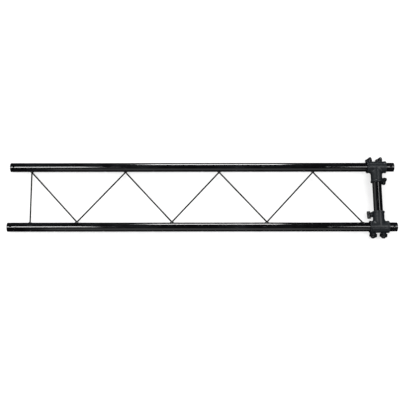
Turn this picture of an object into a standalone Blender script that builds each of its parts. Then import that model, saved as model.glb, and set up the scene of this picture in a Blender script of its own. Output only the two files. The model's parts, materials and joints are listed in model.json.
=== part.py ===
"""Flat two-chord lighting truss section with a clamp-on end coupler.

Frame: +X runs along the chords, +Y from the lower chord to the upper one, and +Z is
square to the truss plane. The origin is under the middle of the section, level with
the lowest point of the clamp knobs.
"""

import math

import bmesh
import bpy
from mathutils import Matrix, Vector

MM = 0.001

# Chord tubes
CHORD_LENGTH = 1500 * MM
TUBE_RADIUS = 17.5 * MM
TUBE_WALL = 1.5 * MM
CHORD_SPACING = 237 * MM
AXIS_HEIGHT = 36.44 * MM  # of the chord axes over the lowest knob
END_HOLE_INSET = 14 * MM
END_HOLE_RADIUS = 4.25 * MM
FIXTURE_HOLE_PITCH = 190 * MM
FIXTURE_HOLE_RADIUS = 5.5 * MM
FIXTURE_HOLES_EACH_WAY = 3

# Lacing rods, measured from the chords' left end
ROD_RADIUS = 2.6 * MM
FIRST_NODE = 83 * MM
HALF_PITCH = 183.4 * MM
NODE_DEPTH = 2.2 * MM  # of the crossing of two rods' axes under the chord wall
DIAGONALS = 7
STRUT_TOP = 82.8 * MM
STRUT_FOOT = 85.8 * MM

# Coupler brackets
COUPLER_INSET = 68 * MM  # post axis from the chords' right end
SLEEVE_LENGTH = 74 * MM
SLEEVE_RADIUS = 22 * MM
SLEEVE_BORE = 17.8 * MM
COLLAR_RADIUS = 23.8 * MM
COLLAR_WIDTH = 7 * MM
SADDLE_RADIUS = 22.8 * MM  # of the thicker side that carries the screws
SADDLE_LIP = 4 * MM  # how far the thicker side reaches past the middle
SADDLE_GROOVE = 2.6 * MM
BRANCH_LENGTH = 61 * MM  # from the chord axis to the branch's mouth
POST_LENGTH = 196 * MM

# Clamp screws, each measured out from its tube's axis
CLAMP_TILT = math.radians(33)  # of the screws behind the truss plane
CHORD_CLAMP_OFFSET = 20 * MM
POST_CLAMP_OFFSET = 50.5 * MM
BOSS_RADIUS = 10.5 * MM
BOSS_TOP = 28.5 * MM
NUT_SIDE = 12.6 * MM
NUT_BASE = 21.9 * MM
NUT_THICKNESS = 4 * MM
PAD_RADIUS = 6 * MM
PAD_BASE = 17.8 * MM
PAD_THICKNESS = 1.8 * MM
STUD_RADIUS = 3.9 * MM
STUD_BASE = 19.9 * MM
STUD_TOP = 38 * MM
SCREW_HOLE_RADIUS = 4.5 * MM
KNOB_BASE = 29.5 * MM
KNOB_HEAD_BASE = 31.2 * MM
KNOB_TOP = 43.4 * MM
KNOB_NECK_RADIUS = 7.2 * MM
KNOB_RADIUS = 15.8 * MM
KNOB_WAIST = 9.5 * MM
KNOB_LOBES = 3
KNOB_EDGE = 1.6 * MM

# How far each knob is turned about its screw when its clamp is tight
KNOB_TURNS = {
    "upper_left": math.radians(40),
    "upper_right": math.radians(45),
    "upper_post": math.radians(30),
    "lower_left": math.radians(50),
    "lower_right": math.radians(46),
    "lower_post": math.radians(-10),
}

GAP = 0.3 * MM
OVERLAP = 2 * MM  # how far joined shapes and cutters run past each other
WELD_DISTANCE = 0.001 * MM

TUBE_SEGMENTS = 36
HOLE_SEGMENTS = 12
STUD_SEGMENTS = 16
BOSS_SEGMENTS = 20
ROD_SEGMENTS = 12
KNOB_SEGMENTS = 36

HALF_SPACING = CHORD_SPACING / 2
LEFT_END = -CHORD_LENGTH / 2
COUPLER_X = CHORD_LENGTH / 2 - COUPLER_INSET
INNER_FACE = HALF_SPACING - TUBE_RADIUS

PAINTED_STEEL = ("black painted steel", (0.012, 0.012, 0.013), 0.22, 0.0)
BRACKET_PLASTIC = ("dark grey moulded nylon", (0.045, 0.052, 0.058), 0.5, 0.0)
KNOB_PLASTIC = ("black moulded nylon", (0.03, 0.034, 0.038), 0.45, 0.0)
ZINC_STEEL = ("zinc plated steel", (0.55, 0.55, 0.57), 0.35, 1.0)
PAD_PLASTIC = ("white acetal", (0.75, 0.75, 0.72), 0.4, 0.0)


def clear_scene():
    """Remove every object that the scene starts with."""
    for obj in list(bpy.data.objects):
        bpy.data.objects.remove(obj, do_unlink=True)


def new_collection(name):
    """Make a collection under the scene's own."""
    collection = bpy.data.collections.new(name)
    bpy.context.scene.collection.children.link(collection)
    return collection


def finish_material(name, finish):
    """Make one part's own Principled material from a finish."""
    _, colour, roughness, metallic = finish
    material = bpy.data.materials.new(name)
    material.use_nodes = True
    shader = material.node_tree.nodes["Principled BSDF"]
    shader.inputs["Base Color"].default_value = (*colour, 1)
    shader.inputs["Roughness"].default_value = roughness
    shader.inputs["Metallic"].default_value = metallic
    return material


def helper(mesh, name, matrix=None):
    """Link a mesh as a hidden shape that other shapes are cut with or joined to."""
    obj = bpy.data.objects.new(name, mesh)
    cutters.objects.link(obj)
    obj.matrix_world = matrix or Matrix()
    obj.hide_render = True
    obj.display_type = "WIRE"
    return obj


def cylinder_mesh(name, radius, base, top, segments):
    """Make a capped cylinder along Z between two heights."""
    mesh = bpy.data.meshes.new(name)
    shape = bmesh.new()
    bmesh.ops.create_cone(
        shape, cap_ends=True, segments=segments, radius1=radius, radius2=radius, depth=top - base
    )
    bmesh.ops.translate(shape, verts=shape.verts, vec=(0, 0, (top + base) / 2))
    shape.to_mesh(mesh)
    shape.free()
    return mesh


def box_mesh(name, low, high):
    """Make a box between two corners."""
    size = Vector(high) - Vector(low)
    mesh = bpy.data.meshes.new(name)
    shape = bmesh.new()
    bmesh.ops.create_cube(shape, size=1)
    bmesh.ops.scale(shape, verts=shape.verts, vec=size)
    bmesh.ops.translate(shape, verts=shape.verts, vec=Vector(low) + size / 2)
    shape.to_mesh(mesh)
    shape.free()
    return mesh


def turned(name, profile, segments, closed=False):
    """Turn a profile of (radius, height) points, top to bottom, about Z."""
    mesh = bpy.data.meshes.new(name)
    edges = [(i, i + 1) for i in range(len(profile) - 1)]
    if closed:
        edges.append((len(profile) - 1, 0))
    mesh.from_pydata([(radius, 0, height) for radius, height in profile], edges, [])
    obj = helper(mesh, name)
    screw = obj.modifiers.new("turn", "SCREW")
    screw.axis = "Z"
    screw.steps = segments
    screw.render_steps = segments
    screw.use_merge_vertices = True
    screw.merge_threshold = WELD_DISTANCE
    return obj


def baked(obj):
    """Return the mesh that an object's modifiers make, welded, and remove the object."""
    bpy.context.view_layer.update()
    graph = bpy.context.evaluated_depsgraph_get()
    mesh = bpy.data.meshes.new_from_object(obj.evaluated_get(graph))
    mesh.name = obj.name
    shape = bmesh.new()
    shape.from_mesh(mesh)
    bmesh.ops.remove_doubles(shape, verts=shape.verts, dist=WELD_DISTANCE)
    shape.to_mesh(mesh)
    shape.free()
    bpy.data.objects.remove(obj)
    return mesh


def shaped(base, joined=(), cut=(), kept_in=None):
    """Join shapes to a base, cut others from it, and bake the result."""
    steps = [(other, "UNION") for other in joined]
    steps += [(other, "DIFFERENCE") for other in cut]
    if kept_in:
        steps.append((kept_in, "INTERSECT"))
    for other, operation in steps:
        boolean = base.modifiers.new(other.name, "BOOLEAN")
        boolean.operation = operation
        boolean.object = other
        boolean.solver = "EXACT"
    return baked(base)


def smooth(mesh, angle=35):
    """Shade a mesh smooth, but keep its real edges sharp."""
    mesh.shade_smooth()
    mesh.set_sharp_from_angle(angle=math.radians(angle))
    return mesh


def part(name, mesh, finish, parent=None, location=(0, 0, 0), turn=0.0):
    """Place a mesh as a named part, turned about its own Z axis."""
    obj = bpy.data.objects.new(name, mesh)
    parts.objects.link(obj)
    obj.parent = parent
    obj.location = location
    obj.rotation_euler = (0, 0, turn)
    if not mesh.materials:
        mesh.materials.append(None)
    obj.material_slots[0].link = "OBJECT"
    obj.material_slots[0].material = finish_material(name, finish)
    return obj


def frame_at(name, location, rotation):
    """Make an empty that parts hang from, with its +Z where the rotation points it."""
    empty = bpy.data.objects.new(name, None)
    parts.objects.link(empty)
    empty.location = location
    empty.rotation_euler = rotation
    return empty


def along_x(x=0, y=0, z=0):
    """A placement whose +Z points along world +X."""
    return Matrix.Translation((x, y, z)) @ Matrix.Rotation(math.pi / 2, 4, "Y")


def along_y(x=0, y=0, z=0):
    """A placement whose +Z points along world -Y."""
    return Matrix.Translation((x, y, z)) @ Matrix.Rotation(math.pi / 2, 4, "X")


def hollow_tube(name, length):
    """Turn a tube about Z, centred on the origin."""
    inner = TUBE_RADIUS - TUBE_WALL
    half = length / 2
    profile = [(TUBE_RADIUS, half), (TUBE_RADIUS, -half), (inner, -half), (inner, half)]
    return turned(name, profile, TUBE_SEGMENTS, closed=True)


def chord_mesh():
    """A chord tube along local Z, with its end bolt holes and fixture bolt holes."""
    reach = TUBE_RADIUS + OVERLAP
    cut = []
    for side in (-1, 1):
        mesh = cylinder_mesh("end hole", END_HOLE_RADIUS, -reach, reach, HOLE_SEGMENTS)
        height = side * (CHORD_LENGTH / 2 - END_HOLE_INSET)
        cut.append(helper(mesh, "end hole", along_x(z=height)))
    for i in range(-FIXTURE_HOLES_EACH_WAY, FIXTURE_HOLES_EACH_WAY + 1):
        mesh = cylinder_mesh("fixture hole", FIXTURE_HOLE_RADIUS, -reach, reach, HOLE_SEGMENTS)
        cut.append(helper(mesh, "fixture hole", along_y(z=i * FIXTURE_HOLE_PITCH)))
    return smooth(shaped(hollow_tube("chord", CHORD_LENGTH), cut=cut))


def rod_mesh(name, top, foot, low_x, high_x, depth=0.0):
    """A lacing rod between two places along the chords, each a depth under the chord's wall.

    It is cut off short of the walls and of the bay's two ends.
    """
    crossing = INNER_FACE - depth
    start = Vector((top, crossing, 0))
    end = Vector((foot, -crossing, 0))
    run = end - start
    half = run.length / 2 + 4 * ROD_RADIUS
    mesh = cylinder_mesh(name, ROD_RADIUS, -half, half, ROD_SEGMENTS)
    base = helper(mesh, name)
    turn = Vector((0, 0, 1)).rotation_difference(run).to_matrix().to_4x4()
    mesh.transform(Matrix.Translation((start + end) / 2) @ turn)
    reach = INNER_FACE - GAP
    low = (low_x, -reach, -2 * ROD_RADIUS)
    bay = helper(box_mesh("bay", low, (high_x, reach, 2 * ROD_RADIUS)), "bay")
    return smooth(shaped(base, kept_in=bay))


def mouth_profile(height):
    """The outer side of a sleeve's collared mouth, from its top down to the plain sleeve."""
    shoulder = height - COLLAR_WIDTH
    return [(0, height), (COLLAR_RADIUS, height), (COLLAR_RADIUS, shoulder), (SLEEVE_RADIUS, shoulder)]


def chord_sleeve_profile():
    """The outer side of the sleeve on the chord, with a collar at each end."""
    upper = mouth_profile(SLEEVE_LENGTH / 2)
    return upper + [(radius, -height) for radius, height in reversed(upper)]


def branch_profile():
    """The outer side of the sleeve on the post, from its mouth to the chord axis."""
    return mouth_profile(BRANCH_LENGTH) + [(SLEEVE_RADIUS, 0), (0, 0)]


def clamp_directions():
    """Each clamp of the upper bracket: its point on a tube axis and its outward turn."""
    lean = math.pi / 2 + CLAMP_TILT
    return {
        "left": ((-CHORD_CLAMP_OFFSET, 0, 0), (-lean, 0, 0)),
        "right": ((CHORD_CLAMP_OFFSET, 0, 0), (-lean, 0, 0)),
        "post": ((0, -POST_CLAMP_OFFSET, 0), (0, lean, 0)),
    }


def placement(location, rotation):
    """The matrix of a location and a rotation about X then Y."""
    x, y, z = rotation
    turn = Matrix.Rotation(y, 4, "Y") @ Matrix.Rotation(x, 4, "X")
    return Matrix.Translation(location) @ turn


def saddle(side):
    """One thickened shell of the chord sleeve, on the side that its screws stand on."""
    start, end = SADDLE_GROOVE / 2, SLEEVE_LENGTH / 2 - COLLAR_WIDTH + OVERLAP
    low, high = (start, end) if side > 0 else (-end, -start)
    base = helper(cylinder_mesh("saddle", SADDLE_RADIUS, low, high, TUBE_SEGMENTS), "saddle")
    base.data.transform(along_x())
    reach = 2 * SADDLE_RADIUS
    half_space = box_mesh("screw side", (-reach, -reach, -SADDLE_LIP), (reach, reach, reach))
    _, rotation = clamp_directions()["left"]
    screw_side = helper(half_space, "screw side", placement((0, 0, 0), rotation))
    return helper(shaped(base, kept_in=screw_side), "saddle")


def bracket_mesh():
    """The upper bracket about the crossing of its bores, with its branch towards -Y."""
    half = SLEEVE_LENGTH / 2
    base = turned("sleeve", chord_sleeve_profile(), TUBE_SEGMENTS)
    base.matrix_world = along_x()
    branch = turned("branch", branch_profile(), TUBE_SEGMENTS)
    branch.matrix_world = along_y()
    joined = [branch, saddle(-1), saddle(1)]
    chord_bore = cylinder_mesh("chord bore", SLEEVE_BORE, -half - OVERLAP, half + OVERLAP, TUBE_SEGMENTS)
    post_bore = cylinder_mesh("post bore", SLEEVE_BORE, OVERLAP, BRANCH_LENGTH + OVERLAP, TUBE_SEGMENTS)
    cut = [helper(chord_bore, "chord bore", along_x()), helper(post_bore, "post bore", along_y())]
    pocket = NUT_SIDE / 2 + GAP
    pocket_top = NUT_BASE + NUT_THICKNESS + GAP
    for name, (location, rotation) in clamp_directions().items():
        place = placement(location, rotation)
        boss = cylinder_mesh(name, BOSS_RADIUS, SLEEVE_BORE + GAP, BOSS_TOP, BOSS_SEGMENTS)
        joined.append(helper(boss, name + " boss", place))
        seat_base = SLEEVE_BORE - 3 * OVERLAP
        seat = box_mesh(name, (-pocket, -pocket, seat_base), (pocket, pocket, pocket_top))
        cut.append(helper(seat, name + " nut pocket", place))
        hole = cylinder_mesh(name, SCREW_HOLE_RADIUS, NUT_BASE, BOSS_TOP + OVERLAP, HOLE_SEGMENTS)
        cut.append(helper(hole, name + " screw hole", place))
    mesh = shaped(base, joined=joined, cut=cut)
    mesh.transform(along_x())
    return smooth(mesh)


def nut_mesh():
    """A square nut along local Z, bored for the stud."""
    half = NUT_SIDE / 2
    top = NUT_BASE + NUT_THICKNESS
    block = helper(box_mesh("nut", (-half, -half, NUT_BASE), (half, half, top)), "nut")
    bore = cylinder_mesh("nut bore", STUD_RADIUS + GAP, NUT_BASE - OVERLAP, top + OVERLAP, STUD_SEGMENTS)
    return shaped(block, cut=[helper(bore, "nut bore")])


def knob_outline():
    """The knob's lobed outline: one smooth wave round a circle."""
    middle = (KNOB_RADIUS + KNOB_WAIST) / 2
    wave = (KNOB_RADIUS - KNOB_WAIST) / 2
    points = []
    for i in range(KNOB_SEGMENTS):
        angle = 2 * math.pi * i / KNOB_SEGMENTS
        radius = middle + wave * math.cos(KNOB_LOBES * angle)
        points.append((radius * math.cos(angle), radius * math.sin(angle), 0, 1))
    return points


def knob_head():
    """The lobed head as an extruded flat outline with rounded rims."""
    curve = bpy.data.curves.new("knob head", "CURVE")
    curve.dimensions = "2D"
    curve.fill_mode = "BOTH"
    curve.extrude = (KNOB_TOP - KNOB_HEAD_BASE) / 2
    spline = curve.splines.new("POLY")
    points = knob_outline()
    spline.points.add(len(points) - 1)
    for point, place in zip(spline.points, points):
        point.co = place
    spline.use_cyclic_u = True
    flat = bpy.data.objects.new("knob head", curve)
    cutters.objects.link(flat)
    head = helper(baked(flat), "knob head")
    head.data.transform(Matrix.Translation((0, 0, (KNOB_TOP + KNOB_HEAD_BASE) / 2)))
    bevel = head.modifiers.new("rims", "BEVEL")
    bevel.width = KNOB_EDGE
    bevel.segments = 2
    bevel.limit_method = "ANGLE"
    bevel.angle_limit = math.radians(60)
    return head


def knob_mesh():
    """A three-lobed clamp knob along local Z, with a blind hole for its stud."""
    neck = cylinder_mesh("neck", KNOB_NECK_RADIUS, KNOB_BASE, KNOB_HEAD_BASE + OVERLAP, BOSS_SEGMENTS)
    hole = cylinder_mesh("stud hole", STUD_RADIUS + GAP, KNOB_BASE - OVERLAP, STUD_TOP + GAP, STUD_SEGMENTS)
    return smooth(shaped(knob_head(), joined=[helper(neck, "neck")], cut=[helper(hole, "stud hole")]))


def build_frame():
    """The welded section: two chords, the end strut and the zigzag lacing."""
    chord = chord_mesh()
    for name, side in (("upper_chord_tube", 1), ("lower_chord_tube", -1)):
        place = frame_at(name + "_axis", (0, side * HALF_SPACING, AXIS_HEIGHT), (0, math.pi / 2, 0))
        part(name, chord, PAINTED_STEEL, place)
    plane = frame_at("truss_plane", (LEFT_END, 0, AXIS_HEIGHT), (0, 0, 0))
    strut = rod_mesh("end_strut", STRUT_TOP, STRUT_FOOT, 0, FIRST_NODE + HALF_PITCH)
    part("end_strut", strut, PAINTED_STEEL, plane)
    for i in range(DIAGONALS):
        near = FIRST_NODE + i * HALF_PITCH
        far = near + HALF_PITCH
        top, foot = (near, far) if i % 2 == 0 else (far, near)
        name = f"diagonal_{i + 1}"
        low_x = max(near, STRUT_TOP + ROD_RADIUS + GAP / 2) + GAP / 2
        mesh = rod_mesh(name, top, foot, low_x, far - GAP / 2, NODE_DEPTH)
        part(name, mesh, PAINTED_STEEL, plane)


def build_coupler():
    """The end coupler: two brackets, the post between them, and six clamp screws."""
    bracket = bracket_mesh()
    nut, knob = nut_mesh(), knob_mesh()
    stud = smooth(cylinder_mesh("stud", STUD_RADIUS, STUD_BASE, STUD_TOP, STUD_SEGMENTS))
    pad = smooth(cylinder_mesh("pad", PAD_RADIUS, PAD_BASE, PAD_BASE + PAD_THICKNESS, STUD_SEGMENTS))
    post_axis = frame_at("post_axis", (COUPLER_X, 0, AXIS_HEIGHT), (math.pi / 2, 0, 0))
    part("coupler_post", smooth(baked(hollow_tube("post", POST_LENGTH))), PAINTED_STEEL, post_axis)
    for level, side in (("upper", 1), ("lower", -1)):
        half_turn = 0 if side > 0 else math.pi
        centre = (COUPLER_X, side * HALF_SPACING, AXIS_HEIGHT)
        crossing = frame_at(level + "_crossing", centre, (0, 0, half_turn))
        part(level + "_bracket", bracket, BRACKET_PLASTIC, crossing)
        for place, (location, rotation) in clamp_directions().items():
            seen = place
            if side < 0 and place != "post":
                seen = "right" if place == "left" else "left"
            name = f"{level}_{seen}"
            clamp = frame_at(name + "_clamp", location, rotation)
            clamp.parent = crossing
            part(name + "_nut", nut, ZINC_STEEL, clamp)
            part(name + "_pad", pad, PAD_PLASTIC, clamp)
            part(name + "_stud", stud, ZINC_STEEL, clamp)
            part(name + "_knob", knob, KNOB_PLASTIC, clamp, turn=KNOB_TURNS[name])


clear_scene()
parts = new_collection("Lighting truss section")
cutters = new_collection("Cutters")
build_frame()
build_coupler()
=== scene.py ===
"""Looks of a flat lighting truss section: gloss black chords, welded rod lacing and a clamp-on coupler."""

import functools
import json
import logging
import math
from dataclasses import dataclass, field
from enum import Enum
from itertools import product
from typing import Callable, Mapping, Optional, Sequence, Union

import bpy
import numpy as np
from mathutils import Matrix, Vector


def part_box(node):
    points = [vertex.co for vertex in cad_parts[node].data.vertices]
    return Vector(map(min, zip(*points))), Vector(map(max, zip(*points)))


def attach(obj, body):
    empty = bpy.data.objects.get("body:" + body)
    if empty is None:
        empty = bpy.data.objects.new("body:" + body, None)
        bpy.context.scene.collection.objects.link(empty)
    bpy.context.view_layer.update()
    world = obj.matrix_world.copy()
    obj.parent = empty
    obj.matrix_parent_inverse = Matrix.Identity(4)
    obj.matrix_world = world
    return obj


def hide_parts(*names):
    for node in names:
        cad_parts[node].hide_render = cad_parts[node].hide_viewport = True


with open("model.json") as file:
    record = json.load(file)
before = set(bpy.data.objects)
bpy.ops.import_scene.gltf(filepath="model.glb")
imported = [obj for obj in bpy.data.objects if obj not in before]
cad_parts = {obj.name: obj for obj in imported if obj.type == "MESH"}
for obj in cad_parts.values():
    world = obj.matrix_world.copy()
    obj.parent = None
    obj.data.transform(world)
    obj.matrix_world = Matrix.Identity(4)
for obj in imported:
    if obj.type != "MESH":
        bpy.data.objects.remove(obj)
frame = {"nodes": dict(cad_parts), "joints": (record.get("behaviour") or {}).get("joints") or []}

log = logging.getLogger("truss")

MM = 0.001
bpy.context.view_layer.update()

Points = np.ndarray
Distances = np.ndarray
Form = Callable[[Points], Distances]
Key = Union[str, int]
Links = Mapping[Key, bpy.types.NodeSocket]


class Level(Enum):
    """Which chord a piece belongs to, as the sign of its place across the truss."""

    UPPER = 1
    LOWER = -1

    @property
    def word(self) -> str:
        """The level as the first word of its nodes' names."""
        return self.name.lower()


class Slot(Enum):
    """The record's material slots."""

    STEEL = "painted_steel"
    BRACKET = "bracket_nylon"
    KNOB = "knob_nylon"
    ZINC = "zinc_steel"
    PAD = "pad_plastic"


# -------- forms as distance fields


def barrel(along: Distances, across: Distances, low: float, high: float, radius: float,
           edge: float = 0.0) -> Distances:
    """Distance to a capped cylinder with rounded rims.

    Args:
        along: each point's place along the axis.
        across: each point's distance from the axis.
        low: where the cylinder starts along its axis.
        high: where it ends.
        radius: its radius.
        edge: the radius of its rims.

    Returns:
        The signed distances, negative inside.
    """
    out = across - radius + edge
    end = np.abs(along - (low + high) / 2) - (high - low) / 2 + edge
    outside = np.hypot(np.maximum(out, 0), np.maximum(end, 0))
    return outside + np.minimum(np.maximum(out, end), 0) - edge


def join(a: Distances, b: Distances, fillet: Union[float, Distances]) -> Distances:
    """Union of two fields with a fillet between them.

    Args:
        a: the first field's distances.
        b: the second field's distances.
        fillet: how wide the blend is.

    Returns:
        The joined distances.
    """
    near = np.maximum(fillet - np.abs(a - b), 0) / fillet
    return np.minimum(a, b) - near * near * fillet / 4


def carve(a: Distances, b: Distances, chamfer: float) -> Distances:
    """The first field with the second cut from it, its edges eased by the chamfer."""
    return -join(-a, b, chamfer)


def skin(name: str, form: Form, low: Sequence[float], high: Sequence[float], step: float) -> bpy.types.Mesh:
    """Wrap a closed quad mesh round a distance field and settle it on the field's surface.

    Args:
        name: the mesh's name.
        form: the distance field.
        low: the lowest corner of the space that holds it.
        high: the highest corner.
        step: the size of the quads.

    Returns:
        The smooth-shaded mesh.
    """
    start = np.array(low, float) - 2 * step
    count = np.ceil((np.array(high, float) + 2 * step - start) / step).astype(int) + 1
    axes = [start[i] + step * np.arange(count[i]) for i in range(3)]
    grid = np.stack(np.meshgrid(*axes, indexing="ij"), axis=-1).reshape(-1, 3)
    inside = (form(grid) < 0).reshape(count)
    cells = count - 1
    held = np.zeros(cells, int)
    for corner in product((0, 1), repeat=3):
        window = tuple(slice(c, c + n) for c, n in zip(corner, cells))
        held += inside[window]
    mixed = (held > 0) & (held < 8)
    index = np.full(cells, -1)
    index[mixed] = np.arange(mixed.sum())
    points = start + (np.argwhere(mixed) + 0.5) * step
    quads = []
    for axis in range(3):
        u, v = (axis + 1) % 3, (axis + 2) % 3
        near = np.take(inside, range(count[axis] - 1), axis)
        far = np.take(inside, range(1, count[axis]), axis)
        crossed = np.argwhere(near != far)
        ring = []
        for back_u, back_v in ((0, 0), (1, 0), (1, 1), (0, 1)):
            cell = crossed.copy()
            cell[:, u] -= back_u
            cell[:, v] -= back_v
            ring.append(index[tuple(cell.T)])
        ring = np.stack(ring, axis=1)
        outward = near[tuple(crossed.T)]
        ring[~outward] = ring[~outward][:, ::-1]
        quads.append(ring)
    quads = np.concatenate(quads)
    for _ in range(3):
        points = settle(relax(points, quads), form, step)
    mesh = bpy.data.meshes.new(name)
    mesh.from_pydata(points.tolist(), [], quads.tolist())
    mesh.shade_smooth()
    return mesh


def relax(points: Points, quads: np.ndarray) -> Points:
    """Move each point to the middle of its neighbours along the quads' edges.

    Args:
        points: the mesh's points.
        quads: its faces, four indices each.

    Returns:
        The moved points.
    """
    total = np.zeros_like(points)
    number = np.zeros(len(points))
    for here, there in ((0, 1), (1, 2), (2, 3), (3, 0)):
        for a, b in ((here, there), (there, here)):
            for i in range(3):
                total[:, i] += np.bincount(quads[:, a], points[quads[:, b], i], len(points))
            number += np.bincount(quads[:, a], minlength=len(points))
    return total / number[:, None]


def settle(points: Points, form: Form, step: float) -> Points:
    """Slide points down a field's slope onto its surface.

    Args:
        points: points near the surface.
        form: the distance field.
        step: the furthest that one pass may move a point.

    Returns:
        The moved points.
    """
    small = 0.05 * step
    for _ in range(3):
        value = form(points)
        slope = np.empty_like(points)
        for i in range(3):
            shift = np.zeros(3)
            shift[i] = small
            slope[:, i] = (form(points + shift) - form(points - shift)) / (2 * small)
        steepness = np.maximum((slope * slope).sum(axis=1), 0.25)
        move = slope * (value / steepness)[:, None]
        length = np.linalg.norm(move, axis=1, keepdims=True)
        points = points - move * np.minimum(1, step / np.maximum(length, 1e-12))
    return points


# -------- rods and turned, drilled tube


def capped_loft(name: str, points: Sequence[Sequence[float]], sides: int) -> bpy.types.Mesh:
    """Join rings of points into a closed, smooth-shaded mesh.

    Args:
        name: the mesh's name.
        points: the rings' points, ring by ring.
        sides: how many points a ring has.

    Returns:
        The mesh.
    """
    last = len(points) - sides
    faces = [tuple(reversed(range(sides))), tuple(last + i for i in range(sides))]
    for low, side in product(range(0, last, sides), range(sides)):
        high, beside = low + sides, (side + 1) % sides
        faces.append((low + side, low + beside, high + beside, high + side))
    mesh = bpy.data.meshes.new(name)
    mesh.from_pydata(points, [], faces)
    mesh.shade_smooth()
    return mesh


@dataclass(frozen=True)
class Hole:
    """A round hole drilled square through both walls of a tube that runs along X."""

    along: float
    across: str
    radius: float


def turned_tube(name: str, length: float, radius: float, wall: float, holes: Sequence[Hole] = (),
                segments: int = 96) -> bpy.types.Mesh:
    """A hollow tube along X with eased ends and drilled holes.

    Args:
        name: the mesh's name.
        length: the tube's length.
        radius: its outer radius.
        wall: its wall thickness.
        holes: the holes through it.
        segments: how many sides it has.

    Returns:
        The mesh, its round walls shaded as true cylinders.
    """
    half, ease, inner = length / 2, 0.35 * MM, radius - wall
    stations = {-half + ease, half - ease}
    for hole in holes:
        reach = hole.radius + 1.2 * MM
        stations |= {hole.along - reach, hole.along + reach}
    outside = [(x, radius) for x in sorted(stations)]
    inside = [(x, inner) for x in sorted(stations, reverse=True)]
    profile = [(-half, radius - ease)] + outside + [(half, radius - ease)]
    profile += [(half, inner + ease)] + inside + [(-half, inner + ease)]
    angles = 2 * math.pi * np.arange(segments) / segments
    points = [(x, r * math.cos(a), r * math.sin(a)) for x, r in profile for a in angles]
    rows = len(profile)
    faces = []
    for row, side in product(range(rows), range(segments)):
        below, beside = (row + 1) % rows, (side + 1) % segments
        faces.append((row * segments + side, row * segments + beside,
                      below * segments + beside, below * segments + side))
    mesh = bpy.data.meshes.new(name)
    mesh.from_pydata(points, [], faces)
    if holes:
        mesh = drilled(mesh, holes, radius)
    mesh.shade_smooth()
    shade_round_walls(mesh, (radius, inner))
    return mesh


def drilled(mesh: bpy.types.Mesh, holes: Sequence[Hole], reach: float) -> bpy.types.Mesh:
    """Cut holes through a tube.

    Args:
        mesh: the tube along X.
        holes: the holes to cut.
        reach: the tube's outer radius.

    Returns:
        A new mesh with the holes.
    """
    blank = bpy.data.objects.new("blank", mesh)
    bpy.context.scene.collection.objects.link(blank)
    drills = []
    for hole in holes:
        turn = (0, 0, 0) if hole.across == "Z" else (math.pi / 2, 0, 0)
        bpy.ops.mesh.primitive_cylinder_add(
            vertices=32, radius=hole.radius, depth=3 * reach, location=(hole.along, 0, 0), rotation=turn
        )
        drill = bpy.context.object
        cut = blank.modifiers.new("hole", "BOOLEAN")
        cut.operation = "DIFFERENCE"
        cut.object = drill
        drills.append(drill)
    bpy.context.view_layer.update()
    cut_mesh = bpy.data.meshes.new_from_object(blank.evaluated_get(bpy.context.evaluated_depsgraph_get()))
    for helper in (blank, *drills):
        bpy.data.objects.remove(helper)
    return cut_mesh


def shade_round_walls(mesh: bpy.types.Mesh, radii: Sequence[float]) -> None:
    """Give the walls of a tube along X the normals of true cylinders, and leave other faces flat.

    Args:
        mesh: the tube.
        radii: its outer and inner radius.
    """
    normals = []
    for face in mesh.polygons:
        middle = np.array(face.center)[1:]
        distance = np.linalg.norm(middle)
        radial = middle / max(distance, 1e-9)
        lean = float(np.dot(radial, np.array(face.normal)[1:]))
        on_wall = abs(lean) > 0.98 and min(abs(distance - r) for r in radii) < 0.2 * MM
        for corner in face.vertices:
            if on_wall:
                y, z = mesh.vertices[corner].co[1:]
                size = math.copysign(math.hypot(y, z), lean)
                normals.append((0, y / size, z / size))
            else:
                normals.append(tuple(face.normal))
    mesh.normals_split_custom_set(normals)


# -------- finishes


def linear(colour: str) -> tuple[float, float, float, float]:
    """Turn an sRGB hex colour into linear values.

    Args:
        colour: the colour, such as "#0b0b0c".

    Returns:
        Red, green, blue and an alpha of one.
    """
    parts = [int(colour[i:i + 2], 16) / 255 for i in (1, 3, 5)]
    red, green, blue = (c / 12.92 if c <= 0.04045 else ((c + 0.055) / 1.055) ** 2.4 for c in parts)
    return red, green, blue, 1.0


def wire(tree: bpy.types.NodeTree, node: bpy.types.Node, links: Links) -> None:
    """Link outputs to a node's inputs, which are given by name or number."""
    for key, source in links.items():
        tree.links.new(source, node.inputs[key])


def add_node(tree: bpy.types.NodeTree, kind: str, settings: Optional[Mapping[Key, object]] = None,
             links: Optional[Links] = None) -> bpy.types.Node:
    """Add a node with its settings and links; a texture's Scale is how many grains lie in a metre.

    Args:
        tree: the node tree.
        kind: the node's type, without its leading word.
        settings: values by property name, or by input name or number.
        links: the outputs that feed its inputs, by input name or number.

    Returns:
        The node.
    """
    node = tree.nodes.new("ShaderNode" + kind)
    for key, value in (settings or {}).items():
        if isinstance(key, str) and hasattr(node, key):
            setattr(node, key, value)
        else:
            node.inputs[key].default_value = value
    wire(tree, node, links or {})
    return node


Surface = tuple[bpy.types.Material, bpy.types.NodeTree, bpy.types.Node, bpy.types.NodeSocket]


def new_surface(name: str) -> Surface:
    """Start a material.

    Args:
        name: the material's name.

    Returns:
        The material, its node tree, its shader and each point's place in its piece's own space.
    """
    material = bpy.data.materials.new(name)
    material.use_nodes = True
    tree = material.node_tree
    place = add_node(tree, "TexCoord").outputs["Object"]
    return material, tree, tree.nodes["Principled BSDF"], place


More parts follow.
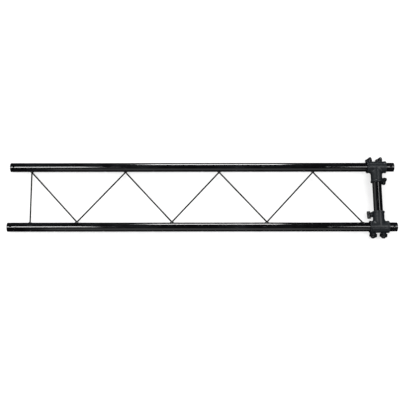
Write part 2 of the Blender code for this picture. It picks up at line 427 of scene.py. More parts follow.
def mottled(tree: bpy.types.NodeTree, place: bpy.types.NodeSocket, first: str, second: str, grain: float,
            detail: float, spread: tuple[float, float] = (0.0, 1.0)) -> tuple[bpy.types.NodeSocket, ...]:
    """Mottle two colours with noise.

    Args:
        tree: the node tree.
        place: the point in the piece's own space.
        first: the colour where the noise is low.
        second: the colour where it is high.
        grain: the size of the mottles.
        detail: how many finer layers they hold.
        spread: the noise values between which the colour turns.

    Returns:
        How far the colour has turned at each point, and the colour.
    """
    noise = add_node(tree, "TexNoise", {"Scale": 1 / grain, "Detail": detail}, {"Vector": place})
    turned = add_node(tree, "MapRange", {"From Min": spread[0], "From Max": spread[1]},
                      {"Value": noise.outputs["Fac"]}).outputs["Result"]
    ends = {"data_type": "RGBA", 6: linear(first), 7: linear(second)}
    return turned, add_node(tree, "Mix", ends, {0: turned}).outputs[2]


@dataclass(frozen=True)
class GlossPowderCoat:
    """Polyester powder coat on steel, sprayed dry and stoved.

    It melts to one glossy skin, so the eye gets a deep black with hard bright lines, slightly
    broken by orange peel, and bare grey steel where clamps and bolts have rubbed it through.
    """

    name: str = "stoved_gloss_powder_coat"
    black: str = "#060607"
    handled: str = "#0e0f11"
    scuffed: str = "#3b3d40"
    steel: str = "#8d8f92"
    gloss: float = 0.08
    dulled: float = 0.17
    shine: float = 0.5
    peel: float = 7 * MM  # real peel is 2 to 3 mm across, drawn coarser so that it shows
    peel_depth: float = 0.035 * MM
    smear: float = 90 * MM
    scuff: float = 5 * MM
    hole_pitch: float = 0.0
    hole_radius: float = 0.0
    half_length: float = 0.0
    rub: float = 2.2 * MM

    def material(self) -> bpy.types.Material:
        """Build the node material."""
        material, tree, shader, place = new_surface(self.name)
        handled, skin_colour = mottled(tree, place, self.black, self.handled, self.smear, 4.0, (0.42, 0.7))
        drawn = add_node(tree, "Mapping", {"Scale": (0.12, 1.0, 1.0)}, {"Vector": place})
        streak = add_node(tree, "TexNoise", {"Scale": 1 / self.scuff, "Detail": 6.0},
                          {"Vector": drawn.outputs["Vector"]}).outputs["Fac"]
        scuffed = add_node(tree, "MapRange", {"From Min": 0.66, "From Max": 0.78, "To Max": 0.55},
                           {"Value": streak}).outputs["Result"]
        colour = add_node(tree, "Mix", {"data_type": "RGBA", 7: linear(self.scuffed)},
                          {0: scuffed, 6: skin_colour}).outputs[2]
        rough = add_node(tree, "MapRange", {"To Min": self.gloss, "To Max": self.dulled},
                         {"Value": handled}).outputs["Result"]
        rough = add_node(tree, "Math", {"operation": "MULTIPLY_ADD", 1: 0.35},
                         {0: scuffed, 2: rough}).outputs[0]
        if self.hole_pitch:
            bare = self.rubbed_through(tree, place, streak)
            colour = add_node(tree, "Mix", {"data_type": "RGBA", 7: linear(self.steel)},
                              {0: bare, 6: colour}).outputs[2]
            wire(tree, shader, {"Metallic": bare})
            rough = add_node(tree, "Math", {"operation": "MULTIPLY_ADD", 1: 0.2},
                             {0: bare, 2: rough}).outputs[0]
        peel = add_node(tree, "TexNoise", {"Scale": 1 / self.peel, "Detail": 1.0},
                        {"Vector": place}).outputs["Fac"]
        bump = add_node(tree, "Bump", {"Strength": 1.0, "Distance": self.peel_depth}, {"Height": peel})
        shader.inputs["IOR"].default_value = 1.5
        shader.inputs["Specular IOR Level"].default_value = self.shine
        wire(tree, shader, {"Base Color": colour, "Roughness": rough, "Normal": bump.outputs["Normal"]})
        return material

    def rubbed_through(self, tree: bpy.types.NodeTree, place: bpy.types.NodeSocket,
                       grain: bpy.types.NodeSocket) -> bpy.types.NodeSocket:
        """Mask the bare steel round the fixture holes and at the tube's ends.

        Args:
            tree: the node tree.
            place: the point in the tube's own space, which runs along X.
            grain: a fine noise that breaks up the mask's edge.

        Returns:
            The mask, one on bare steel.
        """
        axes = add_node(tree, "SeparateXYZ", {}, {"Vector": place}).outputs
        along = add_node(tree, "Math", {"operation": "PINGPONG", 1: self.hole_pitch / 2},
                         {0: axes["X"]}).outputs[0]
        flat = add_node(tree, "CombineXYZ", {}, {"X": along, "Y": axes["Z"]}).outputs[0]
        from_hole = add_node(tree, "VectorMath", {"operation": "LENGTH"}, {0: flat}).outputs["Value"]
        hole_rub = add_node(tree, "MapRange",
                            {"From Min": self.hole_radius, "From Max": self.hole_radius + self.rub,
                             "To Min": 1.0, "To Max": 0.0}, {"Value": from_hole}).outputs["Result"]
        outward = add_node(tree, "Math", {"operation": "ABSOLUTE"}, {0: axes["X"]}).outputs[0]
        end_rub = add_node(tree, "MapRange",
                           {"From Min": self.half_length - self.rub, "From Max": self.half_length},
                           {"Value": outward}).outputs["Result"]
        rub = add_node(tree, "Math", {"operation": "MAXIMUM"}, {0: hole_rub, 1: end_rub}).outputs[0]
        broken = add_node(tree, "Math", {"operation": "ADD"}, {0: rub, 1: grain}).outputs[0]
        return add_node(tree, "MapRange", {"From Min": 1.12, "From Max": 1.3},
                        {"Value": broken}).outputs["Result"]


@dataclass(frozen=True)
class MouldedNylon:
    """Glass-filled nylon, injection-moulded against spark-eroded steel.

    The eye gets a satin blue-black skin with a fine pebble, paler and smoother where the edges
    have been handled, clouded where the glass came near the surface, and a thin parting line.
    """

    name: str
    body: str
    cloud: str
    rubbed: str
    rough: float
    worn: float
    shine: float
    pebble: float = 1.6 * MM  # real sparks leave 0.2 mm craters, drawn coarser so that they show
    pebble_depth: float = 0.06 * MM
    clouding: float = 14 * MM
    parting: float = 0.4 * MM
    parting_height: float = 0.12 * MM

    def material(self) -> bpy.types.Material:
        """Build the node material."""
        material, tree, shader, place = new_surface(self.name)
        clouded, colour = mottled(tree, place, self.body, self.cloud, self.clouding, 5.0, (0.38, 0.66))
        pebble = add_node(tree, "TexNoise", {"Scale": 1 / self.pebble, "Detail": 3.0},
                          {"Vector": place}).outputs["Fac"]
        corner = add_node(tree, "NewGeometry").outputs["Pointiness"]
        edge = add_node(tree, "MapRange", {"From Min": 0.515, "From Max": 0.56},
                        {"Value": corner}).outputs["Result"]
        broken = add_node(tree, "Math", {"operation": "MULTIPLY"}, {0: edge, 1: clouded}).outputs[0]
        colour = add_node(tree, "Mix", {"data_type": "RGBA", 7: linear(self.rubbed)},
                          {0: broken, 6: colour}).outputs[2]
        rough = add_node(tree, "MapRange", {"To Min": self.rough, "To Max": self.worn},
                         {"Value": broken}).outputs["Result"]
        axes = add_node(tree, "SeparateXYZ", {}, {"Vector": place}).outputs
        aside = add_node(tree, "Math", {"operation": "ABSOLUTE"}, {0: axes["X"]}).outputs[0]
        line = add_node(tree, "MapRange",
                        {"From Min": 0.0, "From Max": self.parting, "To Min": 1.0, "To Max": 0.0},
                        {"Value": aside}).outputs["Result"]
        seam = add_node(tree, "Bump", {"Strength": 1.0, "Distance": self.parting_height},
                        {"Height": line}).outputs["Normal"]
        bump = add_node(tree, "Bump", {"Strength": 0.8, "Distance": self.pebble_depth},
                        {"Height": pebble, "Normal": seam})
        shader.inputs["IOR"].default_value = 1.53
        shader.inputs["Specular IOR Level"].default_value = self.shine
        wire(tree, shader, {"Base Color": colour, "Roughness": rough, "Normal": bump.outputs["Normal"]})
        return material


@dataclass(frozen=True)
class BrightZinc:
    """Steel, cut or rolled and then electroplated with bright zinc.

    The eye gets a cool silver with a faint yellow and blue bloom and a slightly uneven shine.
    """

    name: str = "bright_zinc_plated_steel"
    silver: str = "#c4c8cd"
    bloom: str = "#bdb9a4"
    rough: float = 0.28
    grain: float = 2 * MM

    def material(self) -> bpy.types.Material:
        """Build the node material."""
        material, tree, shader, place = new_surface(self.name)
        noise, colour = mottled(tree, place, self.silver, self.bloom, self.grain, 4.0)
        rough = add_node(tree, "MapRange", {"To Min": self.rough - 0.1, "To Max": self.rough + 0.15},
                         {"Value": noise}).outputs["Result"]
        shader.inputs["Metallic"].default_value = 1.0
        wire(tree, shader, {"Base Color": colour, "Roughness": rough})
        return material


@dataclass(frozen=True)
class TurnedAcetal:
    """Acetal, cut from extruded rod on a lathe.

    The eye gets a waxy off-white with the faint rings that the tool left.
    """

    name: str = "turned_acetal"
    white: str = "#dcdbd2"
    soiled: str = "#a9a79c"
    rough: float = 0.4
    ring: float = 0.5 * MM
    stain: float = 4 * MM

    def material(self) -> bpy.types.Material:
        """Build the node material."""
        material, tree, shader, place = new_surface(self.name)
        _, colour = mottled(tree, place, self.white, self.soiled, self.stain, 3.0)
        rings = add_node(tree, "TexWave", {"wave_type": "RINGS", "Scale": 1 / self.ring},
                         {"Vector": place}).outputs["Fac"]
        bump = add_node(tree, "Bump", {"Distance": 0.01 * MM}, {"Height": rings})
        shader.inputs["Roughness"].default_value = self.rough
        wire(tree, shader, {"Base Color": colour, "Normal": bump.outputs["Normal"]})
        return material


@dataclass(frozen=True)
class BacklitAcrylic:
    """Opal acrylic sheet, cast thick and lit from below.

    The eye gets a table that glows an even white and takes only the faintest shadow.
    """

    name: str = "cast_opal_acrylic_light_table"
    milk: str = "#989898"
    haze: str = "#949494"
    veil: float = 40 * MM
    glow: float = 0.57

    def material(self) -> bpy.types.Material:
        """Build the node material."""
        material, tree, shader, place = new_surface(self.name)
        _, colour = mottled(tree, place, self.milk, self.haze, self.veil, 5.0)
        wire(tree, shader, {"Base Color": colour})
        shader.inputs["Roughness"].default_value = 0.95
        shader.inputs["Emission Color"].default_value = linear("#ffffff")
        shader.inputs["Emission Strength"].default_value = self.glow
        return material


Finish = Union[GlossPowderCoat, MouldedNylon, BrightZinc, TurnedAcetal, BacklitAcrylic]


@functools.lru_cache(maxsize=None)
def finished(finish: Finish) -> bpy.types.Material:
    """The one material of a finish."""
    return finish.material()


COATED = GlossPowderCoat()
# thin rods catch little powder, so theirs dries duller and they read as plain dark lines
DRY_COATED = GlossPowderCoat("stoved_powder_coat_sprayed_dry_on_rods", gloss=0.3, dulled=0.42, shine=0.2)
BRACKET_NYLON = MouldedNylon("moulded_glass_nylon_bracket", "#101316", "#16191c", "#2e3337", 0.36, 0.26, 0.24)
KNOB_NYLON = MouldedNylon("moulded_glass_nylon_knob", "#101113", "#18191b", "#3a3c3f", 0.24, 0.2, 0.45)
ZINC = BrightZinc()
ACETAL = TurnedAcetal()


def place_piece(name: str, mesh: bpy.types.Mesh, finish: Finish, body: str,
                matrix: Matrix, stands_for: Sequence[str] = ()) -> bpy.types.Object:
    """Put a piece in the scene, dress it and let it ride on its body.

    Args:
        name: the piece's name.
        mesh: its mesh.
        finish: its finish.
        body: the body that carries it.
        matrix: its place at rest.
        stands_for: the solids that it stands for.

    Returns:
        The piece.
    """
    piece = bpy.data.objects.new(name, mesh)
    bpy.context.scene.collection.objects.link(piece)
    if not mesh.materials:
        mesh.materials.append(finished(finish))
    piece.matrix_world = matrix
    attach(piece, body)
    if stands_for:
        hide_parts(*stands_for)
    log.info("%s: %d faces on %s", name, len(mesh.polygons), body)
    return piece


def dress_node(name: str, finish: Finish) -> None:
    """Give a carried-over solid its finish."""
    node = frame["nodes"][name]
    node.data.materials.clear()
    node.data.materials.append(finished(finish))
    log.info("%s keeps its shape", name)


def middle_of(node: str) -> Vector:
    """The middle of a solid's box."""
    low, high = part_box(node)
    return (low + high) / 2


# -------- the welded section


@dataclass
class WeldedSection:
    """The two chords, the lacing rods between them and the welds at the rods' feet."""

    wall: float = 1.5 * MM
    end_hole_inset: float = 14 * MM
    end_hole_radius: float = 4.25 * MM
    fixture_pitch: float = 190 * MM
    fixture_radius: float = 5.5 * MM
    fixtures_each_way: int = 3
    rod_radius: float = 2.6 * MM
    rod_coat: float = 0.3 * MM
    rod_sides: int = 32
    node_depth: float = 2.2 * MM
    strut: str = "end_strut"
    whole_bays: tuple[int, int] = (2, 7)  # the first and last diagonal that no other piece trims
    bead: float = 2.1 * MM
    bend_spread: float = 3.4 * MM
    ripples: int = 16
    bead_step: float = 0.55 * MM
    seed: int = 7
    axis: dict[Level, Vector] = field(default_factory=dict)
    radius: float = 0.0
    length: float = 0.0

    def __post_init__(self) -> None:
        """Read the chords' size and place from the frame."""
        for level in Level:
            self.axis[level] = middle_of(level.word + "_chord_tube")
        low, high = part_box("upper_chord_tube")
        self.length = high.x - low.x
        self.radius = (high.z - low.z) / 2

    def build(self) -> None:
        """Make every piece of the welded section."""
        self.build_chords()
        feet = self.build_rods()
        self.build_welds(feet)

    def holes(self) -> list[Hole]:
        """The bolt holes of one chord."""
        end = self.length / 2 - self.end_hole_inset
        ends = [Hole(side * end, "Z", self.end_hole_radius) for side in (-1, 1)]
        steps = range(-self.fixtures_each_way, self.fixtures_each_way + 1)
        return ends + [Hole(i * self.fixture_pitch, "Y", self.fixture_radius) for i in steps]

    def build_chords(self) -> None:
        """Make the two chord tubes."""
        mesh = turned_tube("chord", self.length, self.radius, self.wall, self.holes())
        finish = GlossPowderCoat(
            "stoved_gloss_powder_coat_rubbed_at_bolts",
            hole_pitch=self.fixture_pitch, hole_radius=self.fixture_radius, half_length=self.length / 2,
        )
        for level in Level:
            name = level.word + "_chord"
            matrix = Matrix.Translation(self.axis[level])
            place_piece(name, mesh, finish, "frame", matrix, [level.word + "_chord_tube"])

    def rod_names(self) -> list[str]:
        """The lacing rods' solids, from the closed end to the coupler."""
        return [self.strut] + sorted(name for name in frame["nodes"] if name.startswith("diagonal"))

    def rod_line(self, name: str) -> tuple[Vector, Vector]:
        """A rod's axis, from its end at the upper chord to its end at the lower.

        Args:
            name: the rod's solid.

        Returns:
            The two ends; neighbouring diagonals share theirs, which lies just under the chord.
        """
        height = self.axis[Level.UPPER].z
        low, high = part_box(name)
        if name == self.strut:
            reach = self.axis[Level.UPPER].y - self.radius
            top, foot = low.x + self.rod_radius, high.x - self.rod_radius
        else:
            reach = self.axis[Level.UPPER].y - self.radius - self.node_depth
            number = int(name.rsplit("_", 1)[1])
            start, end = self.whole_bays
            first = middle_of(f"diagonal_{start}").x
            pitch = (middle_of(f"diagonal_{end}").x - first) / (end - start)
            middle = first + (number - start) * pitch
            run = pitch / 2 if number % 2 else -pitch / 2
            top, foot = middle - run, middle + run
        return Vector((top, reach, height)), Vector((foot, -reach, height))

    def build_rods(self) -> dict[Level, list[tuple[Vector, Vector]]]:
        """Make the lacing rods.

        Returns:
            Each chord's rod feet, with the rod's direction away from the chord.
        """
        feet: dict[Level, list[tuple[Vector, Vector]]] = {level: [] for level in Level}
        for name in self.rod_names():
            upper, lower = self.rod_line(name)
            run = (upper - lower).normalized()
            feet[Level.UPPER].append((upper, -run))
            feet[Level.LOWER].append((lower, run))
            mesh = self.rod_mesh(name, (upper - lower).length)
            turn = Vector((0, 0, 1)).rotation_difference(run).to_matrix().to_4x4()
            matrix = Matrix.Translation((upper + lower) / 2) @ turn
            place_piece(name + "_rod", mesh, DRY_COATED, "frame", matrix, [name])
        return feet

    def rod_mesh(self, name: str, length: float) -> bpy.types.Mesh:
        """A drawn rod along Z with round ends and a slight waviness of straightening marks.

        Args:
            name: the mesh's name.
            length: the distance between the middles of its round ends.

        Returns:
            The mesh.
        """
        rng = np.random.default_rng(self.seed + len(name) + ord(name[-1]))
        thick = self.rod_radius + self.rod_coat
        quarter = np.linspace(0, math.pi / 2, 8)[1:-1]
        profile = [(-length / 2 - thick * math.cos(a), thick * math.sin(a)) for a in quarter]
        for height in np.linspace(-length / 2, length / 2, 40):
            profile.append((height, thick * (1 + 0.006 * rng.standard_normal())))
        profile += [(-height, radius) for height, radius in reversed(profile[:len(quarter)])]
        angles = 2 * math.pi * np.arange(self.rod_sides) / self.rod_sides
        points = [(r * math.cos(a), r * math.sin(a), h) for h, r in profile for a in angles]
        return capped_loft(name, points, self.rod_sides)

    def build_welds(self, feet: Mapping[Level, Sequence[tuple[Vector, Vector]]]) -> None:
        """Lay a rippled bead round each group of rod feet.

        Args:
            feet: each chord's rod feet and the rods' directions.
        """
        for level, places in feet.items():
            groups: list[list[tuple[Vector, Vector]]] = []
            for foot in sorted(places, key=lambda item: item[0].x):
                if groups and foot[0].x - groups[-1][-1][0].x < 6 * self.rod_radius:
                    groups[-1].append(foot)
                else:
                    groups.append([foot])
            for number, group in enumerate(groups, start=1):
                self.build_weld(f"{level.word}_weld_{number}", level, group)

    def build_weld(self, name: str, level: Level, group: Sequence[tuple[Vector, Vector]]) -> None:
        """Lay one weld bead round the place where a rod, or the bend between two, meets a chord.

        Args:
            name: the weld's name.
            level: the chord it is on.
            group: the ends of its rods, with the rods' directions.
        """
        rng = np.random.default_rng(self.seed + sum(map(ord, name)))
        axis = self.axis[level]
        middle = sum(foot.x for foot, _ in group) / len(group)
        aside = self.rod_radius + 0.35 * self.bead
        along = aside + self.bend_spread * max(abs(run.x) for _, run in group)
        drops = []
        for i in range(self.ripples):
            angle = 2 * math.pi * i / self.ripples
            x = middle + along * math.cos(angle) + rng.normal(0, 0.25 * MM)
            z = aside * math.sin(angle)
            y = axis.y - level.value * math.sqrt(self.radius ** 2 - z * z)
            drops.append((x, y, axis.z + z, self.bead * rng.uniform(0.8, 1.12)))
        drops_array = np.array(drops)

        def bead(points: Points) -> Distances:
            """Drops of weld metal run together."""
            total = np.full(len(points), 1.0)
            for x, y, z, size in drops_array:
                drop = np.linalg.norm(points - (x, y, z), axis=1) - size
                total = join(total, drop, 1.4 * MM)
            return total

        low = drops_array[:, :3].min(axis=0) - 1.5 * self.bead
        high = drops_array[:, :3].max(axis=0) + 1.5 * self.bead
        mesh = skin(name, bead, low, high, self.bead_step)
        place_piece(name, mesh, COATED, "frame", Matrix())


# -------- the coupler


@dataclass(frozen=True)
class ClampSeat:
    """Where a clamp screw stands: on its tube's axis, square to it, with its knob's first lobe."""

    name: str
    centre: Vector
    outward: Vector
    lobe: Vector

    @property
    def matrix(self) -> Matrix:
        """The placement whose +Z points along the screw and +X at the first lobe."""
        side = self.outward.cross(self.lobe)
        turn = Matrix((self.lobe, side, self.outward)).transposed().to_4x4()
        return Matrix.Translation(self.centre) @ turn


def clamp_seats() -> list[ClampSeat]:
    """Read every clamp screw's place from the frame's joints and its knob's solid.

    Returns:
        The seats, named as their nodes start.
    """
    seats = []
    for joint in frame["joints"]:
        if not joint["name"].endswith("_screw_turn"):
            continue
        name = joint["name"].removesuffix("_screw_turn")
        centre, outward = Vector(joint["pos_m"]), Vector(joint["axis"]).normalized()
        reach = []
        for vertex in frame["nodes"][name + "_knob"].data.vertices:
            arm = vertex.co - centre
            reach.append(arm - outward * arm.dot(outward))
        lobe = max(reach, key=lambda arm: arm.length).normalized()
        seats.append(ClampSeat(name, centre, outward, lobe))
    return seats


@dataclass
class Brackets:
    """The two moulded T sleeves, one mould turned half round for the lower chord."""

    seats: Sequence[ClampSeat]
    sleeve_radius: float = 22 * MM
    bore: float = 17.8 * MM
    collar_width: float = 7 * MM
    collar_edge: float = 1.3 * MM
    fillet: float = 11 * MM
    saddle_radius: float = 22.8 * MM
    saddle_lip: float = 4 * MM
    groove: float = 2.6 * MM
    boss_radius: float = 10.5 * MM
    boss_top: float = 28.5 * MM
    screw_hole: float = 4.5 * MM
    pocket: float = 6.6 * MM
    pocket_top: float = 26.2 * MM
    pocket_depth: float = 3 * MM
    rim: float = 0.5 * MM
    collar_fillet: float = 1.5 * MM
    boss_rim: float = 0.9 * MM
    boss_fillet: float = 3 * MM
    cut_edge: float = 0.9 * MM
    step: float = 0.75 * MM

    def __post_init__(self) -> None:
        """Read the sleeves' lengths and the collars' size from the frame."""
        low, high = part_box("upper_bracket")
        chord = middle_of("upper_chord_tube")
        post = middle_of("coupler_post")
        self.crossing = Vector((post.x, chord.y, chord.z))
        self.half_sleeve = (high.x - low.x) / 2
        self.branch = chord.y - low.y
        self.collar_radius = high.z - chord.z

    def build(self) -> None:
        """Make both brackets from the one mould."""
        reach = self.collar_radius + 12 * MM
        low = (-self.half_sleeve, -self.branch, -reach)
        high = (self.half_sleeve, reach, self.collar_radius)
        mesh = skin("bracket", self.form, low, high, self.step)
        for level in Level:
            turn = Matrix.Rotation(0 if level is Level.UPPER else math.pi, 4, "Z")
            place = Vector((self.crossing.x, self.crossing.y * level.value, self.crossing.z))
            name = level.word + "_bracket"
            place_piece(name + "_moulding", mesh, BRACKET_NYLON, "coupler",
                        Matrix.Translation(place) @ turn, [name])

    def form(self, points: Points) -> Distances:
        """The bracket's distance field about the crossing of its bores, its branch towards -Y."""
        x, y, z = points.T
        from_chord = np.hypot(y, z) + 1e-9
        from_post = np.hypot(x, z) + 1e-9
        half, branch, collar = self.half_sleeve, self.branch, self.collar_radius
        body = barrel(x, from_chord, -half, half, self.sleeve_radius, self.rim)
        arm = barrel(-y, from_post, 0, branch, self.sleeve_radius, self.rim)
        crossing = np.clip(1 - z * z / (from_chord * from_post), 0, 1)
        body = join(body, arm, self.fillet * crossing + 0.1 * MM)
        for along, across, top in ((np.abs(x), from_chord, half), (-y, from_post, branch)):
            ring = barrel(along, across, top - self.collar_width, top, collar, self.collar_edge)
            body = join(body, ring, self.collar_fillet)
        screws = [seat for seat in self.seats if seat.name.startswith(Level.UPPER.word)]
        screw_side = next(seat.outward for seat in screws if not seat.name.endswith("post"))
        shell_end = half - self.collar_width + 1 * MM
        shell = barrel(np.abs(x), from_chord, self.groove / 2, shell_end, self.saddle_radius, 0.4 * MM)
        shell = -join(-shell, points @ np.array(screw_side) + self.saddle_lip, 0.6 * MM)
        body = join(body, shell, self.rim)
        cuts = []
        for seat in screws:
            local = points - np.array(seat.centre - self.crossing)
            along = local @ np.array(seat.outward)
            across = np.linalg.norm(local - along[:, None] * np.array(seat.outward), axis=1)
            boss = barrel(along, across, self.bore + 0.4 * MM, self.boss_top, self.boss_radius, self.boss_rim)
            body = join(body, boss, self.boss_fillet)
            cuts.append(barrel(along, across, self.bore, 2 * self.boss_top, self.screw_hole))
            cuts.append(self.pocket_form(seat, local, along))
        cuts.append(barrel(x, from_chord, -2 * half, 2 * half, self.bore))
        cuts.append(barrel(-y, from_post, 2 * MM, 2 * branch, self.bore))
        for cut in cuts:
            body = carve(body, cut, self.cut_edge)
        return body

    def pocket_form(self, seat: ClampSeat, local: Points, along: Distances) -> Distances:
        """The square pocket that holds a clamp's nut.

        Args:
            seat: the clamp.
            local: the points from the clamp's centre.
            along: their places along the screw.

        Returns:
            The pocket's distances.
        """
        side = Vector((0, 1, 0)) if seat.name.endswith("post") else Vector((1, 0, 0))
        other = seat.outward.cross(side)
        wide = np.maximum(np.abs(local @ np.array(side)), np.abs(local @ np.array(other))) - self.pocket
        deep = np.maximum(along - self.pocket_top, self.bore - self.pocket_depth - along)
        return np.maximum(wide, deep)


@dataclass
class ClampScrews:
    """The six clamp screws: lobed knobs, threaded studs, captive nuts and pressure pads."""

    seats: Sequence[ClampSeat]
    knob_base: float = 29.5 * MM
    head_base: float = 31.2 * MM
    knob_top: float = 43.4 * MM
    neck_radius: float = 7.2 * MM
    knob_radius: float = 16.2 * MM
    waist: float = 9.5 * MM
    lobes: int = 3
    rim: float = 1.1 * MM
    dome: float = 0.7 * MM
    dimple: float = 4.4 * MM
    dimple_depth: float = 1.1 * MM
    flank_slope: float = 0.82  # evens out the field's steepness on the lobes' flanks
    knob_step: float = 0.5 * MM
    stud_base: float = 19.9 * MM
    stud_top: float = 38 * MM
    crest: float = 3.9 * MM
    root: float = 3.3 * MM
    pitch: float = 1.25 * MM

    def build(self) -> None:
        """Make the knobs and studs, and dress the nuts and pads."""
        reach = self.knob_radius
        knob = skin("knob", self.knob_form, (-reach, -reach, self.knob_base),
                    (reach, reach, self.knob_top), self.knob_step)
        stud = self.stud_mesh()
        for seat in self.seats:
            body = seat.name + "_screw"
            place_piece(seat.name + "_knob_moulding", knob, KNOB_NYLON, body,
                        seat.matrix, [seat.name + "_knob"])
            place_piece(seat.name + "_threaded_stud", stud, ZINC, body,
                        seat.matrix, [seat.name + "_stud"])
            dress_node(seat.name + "_nut", ZINC)
            dress_node(seat.name + "_pad", ACETAL)

    def knob_form(self, points: Points) -> Distances:
        """A lobed knob's distance field along +Z, its first lobe at +X."""
        x, y, z = points.T
        out = np.hypot(x, y)
        middle = (self.knob_radius + self.waist) / 2
        wave = (self.knob_radius - self.waist) / 2
        edge = out - middle - wave * np.cos(self.lobes * np.arctan2(y, x))
        side = self.flank_slope * edge + self.rim
        crown = self.knob_top - self.dome * (out / self.knob_radius) ** 2
        top = z - crown + self.rim
        base = self.head_base - z + self.rim
        end = np.maximum(top, base)
        outside = np.hypot(np.maximum(side, 0), np.maximum(end, 0))
        head = outside + np.minimum(np.maximum(side, end), 0) - self.rim
        neck = barrel(z, out, self.knob_base, self.head_base + 4 * MM, self.neck_radius, 0.5 * MM)
        body = join(head, neck, 2 * MM)
        hollow = barrel(z, out, self.knob_top - self.dimple_depth, 2 * self.knob_top, self.dimple)
        body = carve(body, hollow, 0.9 * MM)
        button = barrel(z, out, self.head_base, self.knob_top - 0.4 * MM, self.dimple - self.dimple_depth,
                        0.6 * MM)
        body = join(body, button, 0.4 * MM)
        bore = barrel(z, out, 0, self.stud_top + 0.3 * MM, self.crest + 0.3 * MM)
        return carve(body, bore, 0.5 * MM)

    def stud_mesh(self) -> bpy.types.Mesh:
        """A stud along +Z with a helical thread.

        Returns:
            The mesh.
        """
        sides, per_turn = 32, 8
        rows = int((self.stud_top - self.stud_base) / self.pitch * per_turn) + 1
        heights = np.linspace(self.stud_base, self.stud_top, rows)
        points = []
        for height, side in product(heights, range(sides)):
            angle = 2 * math.pi * side / sides
            phase = (height / self.pitch - side / sides) % 1.0
            ridge = min(1.0, 1.6 * abs(2 * phase - 1))
            eased = min(1.0, (height - self.stud_base) / self.pitch)
            radius = self.root + (self.crest - self.root) * ridge * eased
            points.append((radius * math.cos(angle), radius * math.sin(angle), height))
        mesh = capped_loft("stud", points, sides)
        mesh.set_sharp_from_angle(angle=math.radians(50))
        return mesh


@dataclass
class CouplerPost:
    """The short tube that joins the two brackets."""

    wall: float = 1.5 * MM

    def build(self) -> None:
        """Make the post."""
        low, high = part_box("coupler_post")
        mesh = turned_tube("post", high.y - low.y, (high.z - low.z) / 2, self.wall)
        matrix = Matrix.Translation((low + high) / 2) @ Matrix.Rotation(math.pi / 2, 4, "Z")
        place_piece("coupler_post_tube", mesh, COATED, "post", matrix, ["coupler_post"])


# -------- the studio


@dataclass(frozen=True)
class Softbox:
    """A rectangular lamp that faces the truss."""

    name: str
    place: tuple[float, float, float]
    target: tuple[float, float, float]
    width: float
    height: float
    radiance: float
    mirrored: bool = True

    def build(self) -> None:
        """Hang the lamp; one that isn't mirrored lights surfaces but shows in no gloss."""
        lamp = bpy.data.lights.new(self.name, "AREA")
        lamp.shape = "RECTANGLE"
        lamp.size = self.width
        lamp.size_y = self.height
        lamp.energy = self.radiance * math.pi * self.width * self.height
        holder = bpy.data.objects.new(self.name, lamp)
        bpy.context.scene.collection.objects.link(holder)
        holder.location = self.place
        gaze = Vector(self.target) - Vector(self.place)
        holder.rotation_euler = gaze.to_track_quat("-Z", "Y").to_euler()
        holder.visible_glossy = self.mirrored
        holder.visible_camera = False


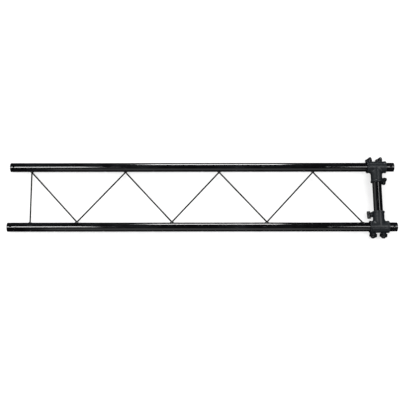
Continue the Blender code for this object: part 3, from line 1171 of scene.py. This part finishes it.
@dataclass
class Studio:
    """A light table, soft lamps and a camera high over the near side."""

    azimuth: float = math.radians(-0.5)
    elevation: float = math.radians(78.4)
    roll: float = math.radians(-0.537)
    distance: float = 2.6
    lens: float = 60.22
    aim: tuple[float, float] = (-0.0083, -0.0120)
    ambient: float = 0.72
    floor_size: float = 40.0
    boxes: tuple[Softbox, ...] = (
        Softbox("left_box", (-1.2, -0.12, 2.6), (-0.5, 0, 0), 0.72, 0.72, 19.0),
        Softbox("right_box", (1.74, -0.1, 2.6), (0.8, 0, 0), 0.76, 1.24, 8.0),
        Softbox("post_strip", (1.76, 0.62, 2.6), (0.8, 0, 0), 0.64, 0.42, 8.0),
        Softbox("back_strip", (0.1, 2.6, 1.1), (0.1, 0, 0), 1.1, 0.66, 30.0),
        Softbox("near_fill", (0.05, -2.4, 1.0), (0.05, 0, 0), 2.5, 2.6, 0.8),
        Softbox("left_panel", (-1.6, 0.5, 0.5), (0.7, 0.2, 0.1), 1.2, 2.2, 1.0),
        Softbox("left_wing", (-2.4, -0.6, 2.5), (-1.2, -0.6, 0), 1.5, 1.1, 4.0),
        Softbox("right_wing", (3.0, -0.6, 2.5), (1.8, -0.6, 0), 1.5, 1.1, 4.0),
        Softbox("right_key", (2.4, 0.3, 2.3), (0.4, 0, 0), 1.2, 1.2, 2.6, mirrored=False),
        Softbox("ceiling", (0, 0, 3.4), (0, 0, 0), 4.0, 3.0, 0.8, mirrored=False),
    )

    def build(self) -> None:
        """Set the stage."""
        self.build_floor()
        self.build_sky()
        for box in self.boxes:
            box.build()
        self.build_camera()

    def build_floor(self) -> None:
        """Lay the light table so that the tubes' far ends and the lowest knob both rest on it."""
        chord_low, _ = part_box("upper_chord_tube")
        knobs = [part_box(name) for name in frame["nodes"] if name.endswith("_knob")]
        low, high = min(knobs, key=lambda corners: corners[0].z)
        touch = Vector(((low.x + high.x) / 2, 0, low.z))
        slope = (touch.z - chord_low.z) / (touch.x - chord_low.x)
        bpy.ops.mesh.primitive_plane_add(size=self.floor_size)
        floor = bpy.context.object
        floor.name = "light_table"
        floor.location = touch
        floor.rotation_euler = (0, -math.atan(slope), 0)
        floor.data.materials.append(finished(BacklitAcrylic()))
        floor.visible_glossy = False

    def build_sky(self) -> None:
        """Fill the room with even white light that shows in no gloss."""
        world = bpy.data.worlds.new("white_room")
        bpy.context.scene.world = world
        world.use_nodes = True
        sky = world.node_tree.nodes["Background"]
        sky.inputs["Color"].default_value = (1, 1, 1, 1)
        sky.inputs["Strength"].default_value = self.ambient
        world.cycles_visibility.glossy = False

    def build_camera(self) -> None:
        """Hang the camera over the near side, looking almost straight down."""
        lens = bpy.data.cameras.new("camera")
        lens.lens = self.lens
        lens.sensor_width = 36
        camera = bpy.data.objects.new("camera", lens)
        bpy.context.scene.collection.objects.link(camera)
        height = middle_of("upper_chord_tube").z
        aim = Vector((*self.aim, height))
        flat = math.cos(self.elevation)
        east, north = math.sin(self.azimuth) * flat, math.cos(self.azimuth) * flat
        gaze = Vector((east, north, -math.sin(self.elevation)))
        camera.location = aim - gaze * self.distance
        turn = gaze.to_track_quat("-Z", "Y").to_matrix().to_4x4() @ Matrix.Rotation(self.roll, 4, "Z")
        camera.rotation_euler = turn.to_euler()
        bpy.context.scene.camera = camera
        bpy.context.scene.view_settings.view_transform = "Standard"


def main() -> None:
    """Build the truss section's looks and the studio round it."""
    logging.basicConfig(level=logging.INFO, format="%(name)s: %(message)s")
    seats = clamp_seats()
    Studio().build()
    WeldedSection().build()
    CouplerPost().build()
    Brackets(seats).build()
    ClampScrews(seats).build()


if __name__ == "__main__":
    main()
